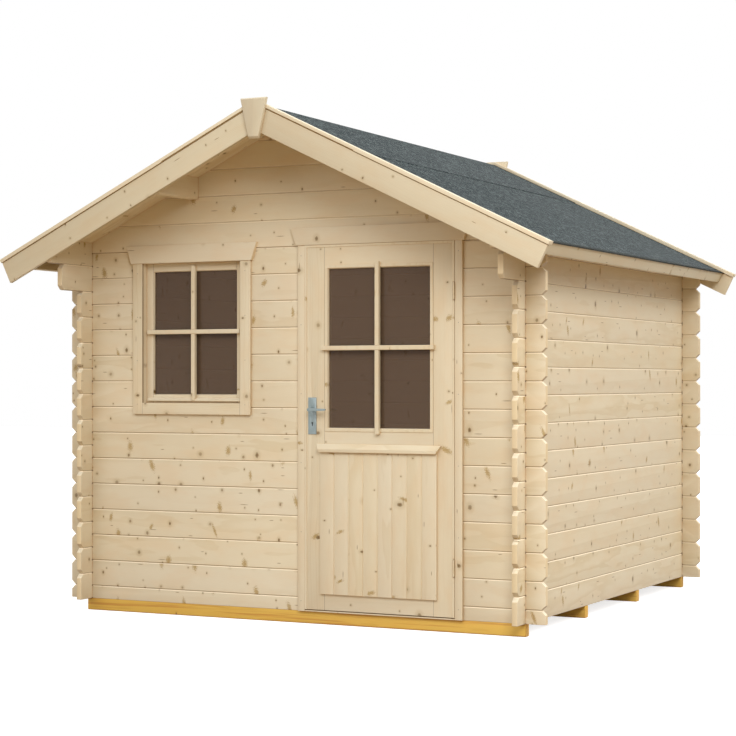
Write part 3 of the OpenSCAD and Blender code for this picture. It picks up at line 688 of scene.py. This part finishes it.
# felt with slate grit: grains, and clouds of them that lie closer or thinner
def feltMaterial():
    material, tree, shader, here = newMaterial("slateFelt")
    grains = useGroup(tree, grit, {"Position": here["Object"], "Grain": felt["grain"]})
    dust = useGroup(tree, grit, {"Position": here["Object"], "Grain": felt["dustGrain"]})["Mask"]
    tufts = useGroup(tree, grit, {"Position": here["Object"], "Grain": felt["tuftGrain"]})["Mask"]
    clumps = noise(tree, here["Object"], 34.0, 5, 0.8)
    broad = noise(tree, here["Object"], 6.0, 3)
    color = blend(tree, grains["Mask"], felt["black"], felt["grey"])
    for mask, low, high, cover, name in (
        (clumps, 0.52, 0.68, 0.62, "paleClump"),
        (clumps, 0.46, 0.3, 0.6, "darkClump"),
        (tufts, 0.72, 0.9, 0.4, "paleTuft"),
        (tufts, 0.28, 0.1, 0.3, "darkTuft"),
        (dust, 0.88, 0.96, 1.0, "dust"),
    ):
        color = blend(tree, times(tree, rise(tree, mask, low, high), cover), color, felt[name])
    color = blend(tree, spread(tree, broad, 0.0, 0.25), color, felt["broad"])
    # darker along the eaves, and painted shade against the cover strips
    low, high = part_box("roofing_felt")
    eave = high[0] * math.cos(roof["pitch"]) - low[2] * math.sin(roof["pitch"])
    down = useGroup(tree, roofSlope, {"Position": here["Object"], "Pitch": roof["pitch"]})["Down"]
    atEaves = rise(tree, down, *[eave - d for d in felt["darkAtEaves"]])
    y = splitXyz(tree, here["Object"])[1]
    front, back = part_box("front_cover_strip")[1][1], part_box("back_cover_strip")[0][1]
    atFront = rise(tree, y, *[front + d for d in felt["shadeAtStrips"]])
    atBack = rise(tree, y, *[back - d for d in felt["shadeAtStrips"]])
    darkAtEavesAndStrips = calc(tree, "MAXIMUM", atEaves, calc(tree, "MAXIMUM", atFront, atBack))
    color = blend(tree, times(tree, darkAtEavesAndStrips, 0.85), color, felt["eaveDarkStripShade"])
    # faces turned to the gables, the felt's cut edges, are brown
    facing = calc(tree, "ABSOLUTE", splitXyz(tree, here["Normal"])[1])
    color = blend(tree, rise(tree, facing, 0.5, 0.8), color, felt["cutEdgeBrown"])
    plug(tree, shader.inputs["Base Color"], color)
    plug(tree, shader.inputs["Roughness"], spread(tree, grains["Mask"], 0.8, 0.97))
    shader.inputs["Specular IOR Level"].default_value = 0.2
    addBump(tree, shader, grains["Height"], 0.0014)
    return material


pane = {"tone": tone(114, 93, 75), "alpha": 0.5, "mirror": 0.3, "ior": 1.5}


# dark tinted pane: part of the light passes, the rest mirrors the surroundings
def paneMaterial(name):
    material, tree, shader, here = newMaterial(name)
    smear = noise(tree, here["Object"], 3.0, 3)
    plug(tree, shader.inputs["Roughness"], spread(tree, smear, 0.02, 0.06))
    shader.inputs["Base Color"].default_value = pane["tone"]
    shader.inputs["Alpha"].default_value = pane["alpha"]
    shader.inputs["Specular IOR Level"].default_value = pane["mirror"]
    shader.inputs["IOR"].default_value = pane["ior"]
    return material


lacquerWear = {"rubbed": (0.75, 0.77, 0.8, 1), "brushed": (0.2, 0.22, 0.24, 1)}


# satin lacquer on metal, brushed along the plate and a little rubbed
def lacquerMaterial(name, color, metallic, roughness):
    material, tree, shader, here = newMaterial(name)
    x, y, z = splitXyz(tree, here["Object"])
    strokes = joinXyz(tree, times(tree, x, 2500), times(tree, y, 2500), times(tree, z, 60))
    brushed = noise(tree, strokes, 1.0, 2)
    rubbed = rise(tree, noise(tree, here["Object"], 45.0, 3), 0.5, 0.75)
    shade = blend(tree, times(tree, rubbed, 0.1), color, lacquerWear["rubbed"])
    shade = blend(tree, spread(tree, brushed, 0.0, 0.2), shade, lacquerWear["brushed"])
    plug(tree, shader.inputs["Base Color"], shade)
    plug(tree, shader.inputs["Roughness"], spread(tree, brushed, roughness - 0.06, roughness + 0.1))
    shader.inputs["Metallic"].default_value = metallic
    addBump(tree, shader, brushed, 0.00005)
    return material


slateFelt = feltMaterial()
windowPane = paneMaterial("windowPane")
doorPane = paneMaterial("doorPane")
handleLacquer = lacquerMaterial("handleLacquer", tone(134, 148, 149), 0.35, 0.38)
hingeZinc = lacquerMaterial("hingeZinc", tone(204, 184, 148), 0.4, 0.42)
keyholeShadeIron = lacquerMaterial("keyholeShadeIron", tone(30, 32, 34), 0.5, 0.6)
nailZinc = lacquerMaterial("nailZinc", tone(150, 138, 118), 0.5, 0.5)
print("felt, glass and metal made")


# ---- pieces ----

bodyOf = {node: body for body, nodes in frame["record"]["behaviour"]["bodies"].items() for node in nodes}


def dress(node, material):
    mesh = frame["nodes"][node].data
    mesh.materials.clear()
    mesh.materials.append(material)


def linkPiece(name, mesh, material, body):
    mesh.materials.append(material)
    piece = bpy.data.objects.new(name, mesh)
    bpy.context.scene.collection.objects.link(piece)
    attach(piece, body)
    return piece


# a copy of a node whose sharp edges are rounded over, in place of the node
def easeEdges(node, material, radius, segments=2):
    mesh = bpy.data.meshes.new(node + "Eased")
    shape = bmesh.new()
    shape.from_mesh(frame["nodes"][node].data)
    bmesh.ops.remove_doubles(shape, verts=shape.verts, dist=1e-5)
    bmesh.ops.dissolve_limit(shape, angle_limit=math.radians(1), verts=shape.verts, edges=shape.edges)
    shape.to_mesh(mesh)
    shape.free()
    mesh.polygons.foreach_set("use_smooth", np.ones(len(mesh.polygons), dtype=bool))
    piece = linkPiece(node + "Eased", mesh, material, bodyOf[node])
    bevel = piece.modifiers.new("eased", "BEVEL")
    bevel.width = radius
    bevel.segments = segments
    bevel.limit_method = "ANGLE"
    bevel.angle_limit = math.radians(25)
    bevel.harden_normals = True
    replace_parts(piece, node)


# a new piece from whole arrays of points and faces
def addPiece(name, points, faces, material, body):
    mesh = bpy.data.meshes.new(name)
    mesh.from_pydata(points.tolist(), [], faces)
    return linkPiece(name, mesh, material, body)


# a closed profile of m points moved from ring to ring: faces of the tube and its two ends
def tubeFaces(rings, m, first=0):
    start = first + np.arange(rings - 1)[:, None] * m + np.arange(m)[None, :]
    following = first + np.arange(rings - 1)[:, None] * m + (np.arange(m)[None, :] + 1) % m
    quads = np.stack([start, following, following + m, start + m], axis=-1).reshape(-1, 4)
    low = list(range(first + m - 1, first - 1, -1))
    high = list(range(first + (rings - 1) * m, first + rings * m))
    return quads.tolist() + [low, high]


# bars on a face: point(t, k) = start + t * (end - start) + profile(k), the profile a rectangle
# with eased front corners; front is where the face lies
def addBars(name, size, bars, front, body, material):
    points, faces = [], []
    w, d, e = size["width"] / 2, size["depth"], size["easing"]
    side = np.array([-w, -w, -w + e * 0.3, -w + e, w - e, w - e * 0.3, w, w])
    out = np.array([0, -d + e, -d + e * 0.3, -d, -d, -d + e * 0.3, -d + e, 0])
    for start, end in bars:
        start, end = np.array(start), np.array(end)
        along = (end - start) / np.linalg.norm(end - start)
        sideways = np.cross(along, [0, 1, 0])
        profile = side[:, None] * sideways + out[:, None] * np.array([0, 1, 0])
        stations = np.array([0.0, 1.0])[:, None, None]
        grid = start + stations * (end - start) + profile[None, :, :] + np.array([0, front, 0])
        faces += tubeFaces(2, len(side), len(points))
        points += grid.reshape(-1, 3).tolist()
    addPiece(name, np.array(points), faces, material, body)


# levels are those of the level bars above the foot of the walls; past is what a bar laps over the frame
glazingBar = {
    "width": 0.022,
    "depth": 0.020,
    "easing": 0.0035,
    "past": 0.025,
    "windowLevel": 1.351,
    "doorLevel": 1.263,
    "crossing": 0.012,  # half width of what counts as the upright bar
    "aboveAll": 9,
}


# one level bar over the whole opening and an upright one in two halves against it
def crossBars(hole, level):
    (x0, z0), (x1, z1) = hole
    middle, w, past = (x0 + x1) / 2, glazingBar["width"] / 2, glazingBar["past"]
    return [
        ((x0 - past, 0, level), (x1 + past, 0, level)),
        ((middle, 0, z0 - past), (middle, 0, level - w)),
        ((middle, 0, level + w), (middle, 0, z1 + past)),
    ]


# profiles of the beads round a pane: (towards the pane, out from the face)
bead = {
    "inside": [(0.0, -0.013), (0.003, -0.013), (0.003, -0.010), (0.002, -0.004), (0.0, -0.001)],
    "flat": [(0.0, 0.001), (-0.002, 0.003), (-0.0135, 0.003), (-0.015, 0.0015), (-0.015, 0.0), (0.0, 0.0)],
    "hidesGlass": 0.012,
}


# a mitred frame: point(corner, k) = corner + inward * profile(k), carried round the four sides of a rectangle
def addBead(name, hole, front, profile, body, material):
    (x0, z0), (x1, z1) = hole
    corners = np.array([[x0, z0], [x1, z0], [x1, z1], [x0, z1]])
    inward = np.array([[1, 1], [-1, 1], [-1, -1], [1, -1]])
    profile = np.array(profile)
    m = len(profile)
    points = np.zeros((4, m, 3))
    points[:, :, 0] = corners[:, None, 0] + inward[:, None, 0] * profile[None, :, 0]
    points[:, :, 1] = front - profile[None, :, 1]
    points[:, :, 2] = corners[:, None, 1] + inward[:, None, 1] * profile[None, :, 0]
    ring, k = np.arange(4)[:, None], np.arange(m)[None, :]
    here, there = ring * m, (ring + 1) % 4 * m
    faces = np.stack([here + k, here + (k + 1) % m, there + (k + 1) % m, there + k], axis=-1).reshape(-1, 4)
    addPiece(name, points.reshape(-1, 3), faces.tolist(), material, body)


def barWood(name, middle, seed):
    lay = layFraming(middle, glazingBar["crossing"], glazingBar["aboveAll"], seed)
    return spruceMaterial(name, lay, 0.25, 0.4, jointShade=0.0)


# what can be seen of a pane: its box less the bead that hides its edge
def glassHole(node):
    low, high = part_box(node)
    hidden = bead["hidesGlass"]
    return (low[0] + hidden, low[2] + hidden), (high[0] - hidden, high[2] - hidden)


windowHole, doorHole = glassHole("window_glass"), glassHole("door_glass")
sashFront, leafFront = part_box("window_sash")[0][1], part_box("door_leaf")[0][1]
windowBarWood, doorBarWood = barWood("windowBars", windowMiddle, 70), barWood("doorBars", doorMiddle, 76)
windowCross = crossBars(windowHole, baseZ + glazingBar["windowLevel"])
doorCross = crossBars(doorHole, baseZ + glazingBar["doorLevel"])
addBars("windowBars", glazingBar, windowCross, sashFront, "house", windowBarWood)
addBars("doorBars", glazingBar, doorCross, leafFront, "door", doorBarWood)
addBead("windowBead", windowHole, sashFront, bead["inside"], "house", windowBarWood)
addBead("doorBead", doorHole, leafFront, bead["inside"], "door", doorBarWood)
addBead("doorBeadFlat", doorHole, leafFront, bead["flat"], "door", doorBarWood)
print("bars and beads made")

# cover laths on the edges of the leaf that hide the gap round it, broken at the hinges
lath = {
    "width": 0.0115,
    "depth": 0.003,
    "easing": 0.0012,
    "clear": 0.0008,  # left open beside the frame
    "sideGap": 0.007,
    "topGap": 0.005,
    "hingeEnd": 0.190,  # from the end of the leaf to a hinge
    "hingeHeight": 0.080,
    "hingeClear": 0.004,
}


def edgeLaths():
    (x0, _, z0), (x1, _, z1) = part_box("door_leaf")
    w, clear, height = lath["width"] / 2, lath["clear"], lath["hingeHeight"]
    left, right = x0 - lath["sideGap"] + clear + w, x1 + lath["sideGap"] - clear - w
    top = z1 + lath["topGap"] - clear - w
    hinges = z0 + lath["hingeEnd"], z1 - lath["hingeEnd"] - height
    runs = [((left, 0, z0), (left, 0, top + w)), ((left + w, 0, top), (right - w, 0, top))]
    foot = z0
    for hinge in hinges:
        runs.append(((right, 0, foot), (right, 0, hinge - lath["hingeClear"])))
        foot = hinge + height + lath["hingeClear"]
    return runs + [((right, 0, foot), (right, 0, top + w))]


addBars("doorLaths", lath, edgeLaths(), leafFront, "door", doorBarWood)

# the lock's face behind the keyhole, dark iron that also stands in for the shade inside the keyhole, from low
# to high above the foot of the plate
lockFace = {"width": 0.012, "depth": 0.0008, "easing": 0.0003, "low": 0.038, "high": 0.063}
plateLow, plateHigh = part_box("handle_plates")
lockMiddle = (plateLow[0] + plateHigh[0]) / 2
lockRun = [((lockMiddle, 0, plateLow[2] + lockFace["low"]), (lockMiddle, 0, plateLow[2] + lockFace["high"]))]
addBars("lockFace", lockFace, lockRun, leafFront, "door", keyholeShadeIron)
print("door laths and lock made")


# roof boards of one slope: point(y, t) = (1 - t) * ridge(y) + t * eave(y), grooved where two boards meet
def addRoofBoards(name, node, side):
    low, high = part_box(node)
    pitch, t = roof["pitch"], roof["boardThickness"]
    cosine, sine = math.cos(pitch), math.sin(pitch)
    apex = high[2] - t / cosine
    reach = max(abs(low[0]), abs(high[0]))
    run = (reach - t * sine) / cosine
    count = round((high[1] - low[1]) / roof["boardWidth"])
    joints = np.linspace(low[1], high[1], count + 1)[1:-1]
    w, g = roof["grooveWidth"] / 2, roof["grooveDepth"]
    under = np.stack([joints - w, joints, joints + w], axis=1).ravel()
    depth = np.tile([0.0, g, 0.0], len(joints))
    y = np.concatenate([[low[1]], under, [high[1]], [high[1]], [low[1]]])
    n = np.concatenate([[0.0], depth, [0.0], [t], [t]])
    ridge = np.stack([np.zeros_like(y), y, apex + n / cosine], axis=1)
    eave = np.stack([run * cosine + n * sine, y, apex - run * sine + n * cosine], axis=1)
    points = np.concatenate([ridge, eave])
    points[:, 0] *= side
    faces = tubeFaces(2, len(y))
    if side < 0:
        faces = [face[::-1] for face in faces]
    row = (low[1], (high[1] - low[1]) / count)
    material = spruceMaterial(name, laySlope("flat", 120 + side, row), 0.45, 0.5)
    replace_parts(addPiece(name, points, faces, material, "house"), node)


addRoofBoards("roofBoardsLeft", "roof_boards_left", -1)
addRoofBoards("roofBoardsRight", "roof_boards_right", 1)
print("roof boards made")

feltLip = {"thickness": 0.0025, "hang": 0.003, "lap": 0.002}


# felt folded down over the fascias: point(y, k) = profile(k) carried from gable to gable
def addFeltLip(name, side):
    low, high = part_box("roofing_felt")
    edge, foot = high[0], low[2]
    inner, hang, lap = edge - feltLip["thickness"], foot - feltLip["hang"], foot + feltLip["lap"]
    y = np.array([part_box("fascias")[0][1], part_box("fascias")[1][1]])
    points = np.zeros((2, 4, 3))
    points[:, :, 0] = np.array([inner, edge, edge, inner]) * side
    points[:, :, 1] = y[:, None]
    points[:, :, 2] = [hang, hang, lap, lap]
    faces = tubeFaces(2, 4)
    if side > 0:
        faces = [face[::-1] for face in faces]
    addPiece(name, points.reshape(-1, 3), faces, slateFelt, "house")


addFeltLip("feltLipLeft", -1)
addFeltLip("feltLipRight", 1)

# the walls, and how far their edges are eased
wallEasing = 0.0018
walls = {
    "front_wall_left": wallAcross,
    "front_wall_right": rightLogs,
    "back_wall": backLogs,
    "back_gable": backLogs,
    "front_gable": gableLogs,
    "left_wall": wallAlong,
    "right_wall": wallAlong,
}
for node, material in walls.items():
    easeEdges(node, material, wallEasing)

panelLow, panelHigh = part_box("door_panel")
panelBoards = 8
layPanel = layRow("Z", "X", panelLow[0], (panelHigh[0] - panelLow[0]) / panelBoards)
pastPane = {"stile": 0.017, "casing": 0.04}  # from the edge of a pane to the joint of its framing
doorHalfGap = (doorHole[1][0] - doorHole[0][0]) / 2 + pastPane["stile"]
windowHalfGap = (windowHole[1][0] - windowHole[0][0]) / 2
casingHalfGap = windowHalfGap + pastPane["casing"]
# painted shade: the front barge boards a little darker
bargeShade = tone(238, 237, 234)
whiteTint = tone(255, 255, 255)

# trim: node, how its boards lie, knots, rings, how far its edges are eased, and its tint; on the front
# barges, the front keystone and the fascias the tint is painted shade
trim = {
    "purlins": (laySingle("Y", "Z", 90), 0.4, 0.5, 0.003),
    "barge_front_left": (laySlope("upright", 200), 0.2, 0.4, 0.002, bargeShade),
    "barge_front_right": (laySlope("upright", 200), 0.2, 0.4, 0.002, bargeShade),
    "barge_back_left": (laySlope("upright", 215), 0.2, 0.4, 0.002),
    "barge_back_right": (laySlope("upright", 215), 0.2, 0.4, 0.002),
    "front_cover_strip": (laySlope("flat", 230), 0.15, 0.3, 0.0072, whiteTint),
    "back_cover_strip": (laySlope("flat", 240), 0.15, 0.3, 0.0072, whiteTint),
    "front_keystone": (laySingle("Z", "X", 250), 0.1, 0.3, 0.0015, tone(232, 231, 228)),
    "back_keystone": (laySingle("Z", "X", 252), 0.1, 0.5, 0.0015),
    "fascias": (laySingle("Y", "Z", 255), 0.45, 0.5, 0.0015, tone(238, 240, 240)),
    "door_jamb_left": (laySingle("Z", "X", 260), 0.3, 0.4, 0.0015),
    "door_jamb_right": (laySingle("Z", "X", 262), 0.3, 0.4, 0.0015),
    "door_frame_head": (laySingle("X", "Z", 264), 0.3, 0.4, 0.0015),
    "door_sill": (laySingle("X", "Y", 266), 0.2, 0.5, 0.0015),
    "door_casings": (laySingle("Z", "X", 268), 0.2, 0.4, 0.0015),
    "door_header": (laySingle("X", "Z", 270), 0.1, 0.4, 0.0015),
    "door_leaf": (layFraming(doorMiddle, doorHalfGap, 1.0, 283), 0.22, 0.22, 0.002),
    "door_panel": (layPanel, 0.22, 0.4, 0.001),
    "door_weather_bar": (laySingle("X", "Z", 290), 0.1, 0.4, 0.002),
    "window_frame": (layFraming(windowMiddle, windowHalfGap, 1.2, 292), 0.2, 0.4, 0.001),
    "window_casing": (layFraming(windowMiddle, casingHalfGap, 1.0, 296), 0.2, 0.4, 0.0015),
    "window_header": (laySingle("X", "Z", 300), 0.1, 0.4, 0.0015),
    "window_sash": (layFraming(windowMiddle, windowHalfGap, 1.4, 302), 0.15, 0.4, 0.0015),
    "window_drip_bar": (laySingle("X", "Z", 306), 0.05, 0.4, 0.0012),
}
for node, (lay, knots, rings, radius, *tint) in trim.items():
    segments = 4 if radius > 0.005 else 2  # the strips are half round
    easeEdges(node, spruceMaterial(node, lay, knots, rings, *tint), radius, segments)
easeEdges("skids", skidWood, 0.006)
layFloor = layRow("Y", "X", 0.0, roof["boardWidth"], None, 0.003)
dress("floor", spruceMaterial("floor", layFloor, 0.4, 0.5, jointDepth=4.0))
print("timber dressed")

easeEdges("roofing_felt", slateFelt, 0.0012)
easeEdges("door_handle", handleLacquer, 0.0012)
easeEdges("handle_plates", handleLacquer, 0.0008)
dress("window_glass", windowPane)
dress("door_glass", doorPane)
dress("hinge_pins", hingeZinc)
dress("hinge_knuckles", hingeZinc)
print("glass, felt and metal dressed")


# ---- nails ----

nail = {"sides": 10, "radius": 0.0022, "dome": 0.0007, "sunk": 0.0005, "fromEnds": 0.05}


# nail heads: point(a, r) = place + r * (cos a * up + sin a * aside) + dome(r) * outward
def addNails(name, places, outward, up, aside, body, material):
    outward = np.array(outward)
    angle = np.arange(nail["sides"]) * 2 * np.pi / nail["sides"]
    ring = (np.cos(angle)[:, None] * np.array(up) + np.sin(angle)[:, None] * np.array(aside)) * nail["radius"]
    foot = ring - outward * nail["sunk"]
    shoulder = ring * 0.75 + outward * nail["dome"] * 0.7
    head = np.concatenate([foot, shoulder])
    points = (np.array(places)[:, None, :] + head[None, :, :]).reshape(-1, 3)
    faces = []
    for i in range(len(places)):
        faces += tubeFaces(2, nail["sides"], i * len(head))
    addPiece(name, points, faces, material, body)


# rows of nails up both side boards of a casing
def casingNails(node, inset, rows):
    low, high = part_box(node)
    levels = np.linspace(low[2] + nail["fromEnds"], high[2] - nail["fromEnds"], rows)
    return [(x, low[1], z) for x in (low[0] + inset, high[0] - inset) for z in levels]


nailPlaces = casingNails("door_casings", 0.019, 6) + casingNails("window_casing", 0.028, 4)
addNails("casingNails", nailPlaces, (0, -1, 0), (0, 0, 1), (1, 0, 0), "house", nailZinc)
print("nails made")


# ---- floor and light ----

# suns: strength, width in degrees, and where each one stands
studio = {
    "sky": 0.28,
    "groundBounce": (0.36, 0.25, 0.14),
    "suns": {
        "top": (0.7, 60, (-0.05, -0.22, 1.0)),
        "key": (0.94, 50, (-0.42, -0.80, 0.56)),
        "side": (1.57, 36, (1.0, 0.08, 0.82)),
        "back": (1.1, 70, (-0.45, 0.80, 0.5)),
    },
    "softbox": {"power": 252, "size": 3.0, "place": (4.0, -6.1, 4.8), "aim": (0.9, -1.1, 1.0)},
    "floorHalf": 30,
    "floorGlow": 0.76,
}


# 1 on what the camera sees straight, mirrored or through glass
def seenRays(tree):
    path = tree.nodes.new("ShaderNodeLightPath").outputs
    indirect = calc(tree, "MAXIMUM", path["Is Glossy Ray"], path["Is Transmission Ray"])
    return calc(tree, "MAXIMUM", path["Is Camera Ray"], indirect)


# pale ground: white where the camera sees it, duller and warmer in the light that it throws back
def addGround():
    corners = np.array([[-1, -1, 0], [1, -1, 0], [1, 1, 0], [-1, 1, 0]]) * float(studio["floorHalf"])
    mesh = bpy.data.meshes.new("ground")
    mesh.from_pydata(corners.tolist(), [], [[0, 1, 2, 3]])
    ground = bpy.data.objects.new("ground", mesh)
    bpy.context.scene.collection.objects.link(ground)
    material, tree, shader, here = newMaterial("ground")
    seen = seenRays(tree)
    color = blend(tree, seen, (*studio["groundBounce"], 1), (0.6, 0.6, 0.6, 1))
    plug(tree, shader.inputs["Base Color"], color)
    plug(tree, shader.inputs["Emission Strength"], times(tree, seen, studio["floorGlow"]))
    shader.inputs["Emission Color"].default_value = (1, 1, 1, 1)
    shader.inputs["Roughness"].default_value = 1.0
    shader.inputs["Specular IOR Level"].default_value = 0.0
    mesh.materials.append(material)


# a lamp shines down its own -Z, so it is turned until +Z points back along the light
def addLamp(name, kind, energy, toLamp, place=(0, 0, 5), **settings):
    lamp = bpy.data.lights.new(name, kind)
    lamp.energy = energy
    for key, value in settings.items():
        setattr(lamp, key, value)
    holder = bpy.data.objects.new(name, lamp)
    holder.location = place
    holder.rotation_euler = Vector(toLamp).to_track_quat("Z", "Y").to_euler()
    holder.visible_camera = False
    bpy.context.scene.collection.objects.link(holder)


addGround()
for name, (energy, angle, toLamp) in studio["suns"].items():
    addLamp(name + "Sun", "SUN", energy, toLamp, angle=math.radians(angle))
soft = studio["softbox"]
toBox = Vector(soft["place"]) - Vector(soft["aim"])
addLamp("softbox", "AREA", soft["power"], toBox, soft["place"], shape="SQUARE", size=soft["size"])

world = bpy.data.worlds.new("studio")
world.use_nodes = True
bpy.context.scene.world = world
background = world.node_tree.nodes["Background"]
background.inputs["Color"].default_value = (1, 1, 1, 1)
strength = pick(world.node_tree, seenRays(world.node_tree), studio["sky"], 1.0)
plug(world.node_tree, background.inputs["Strength"], strength)
print("studio lit")
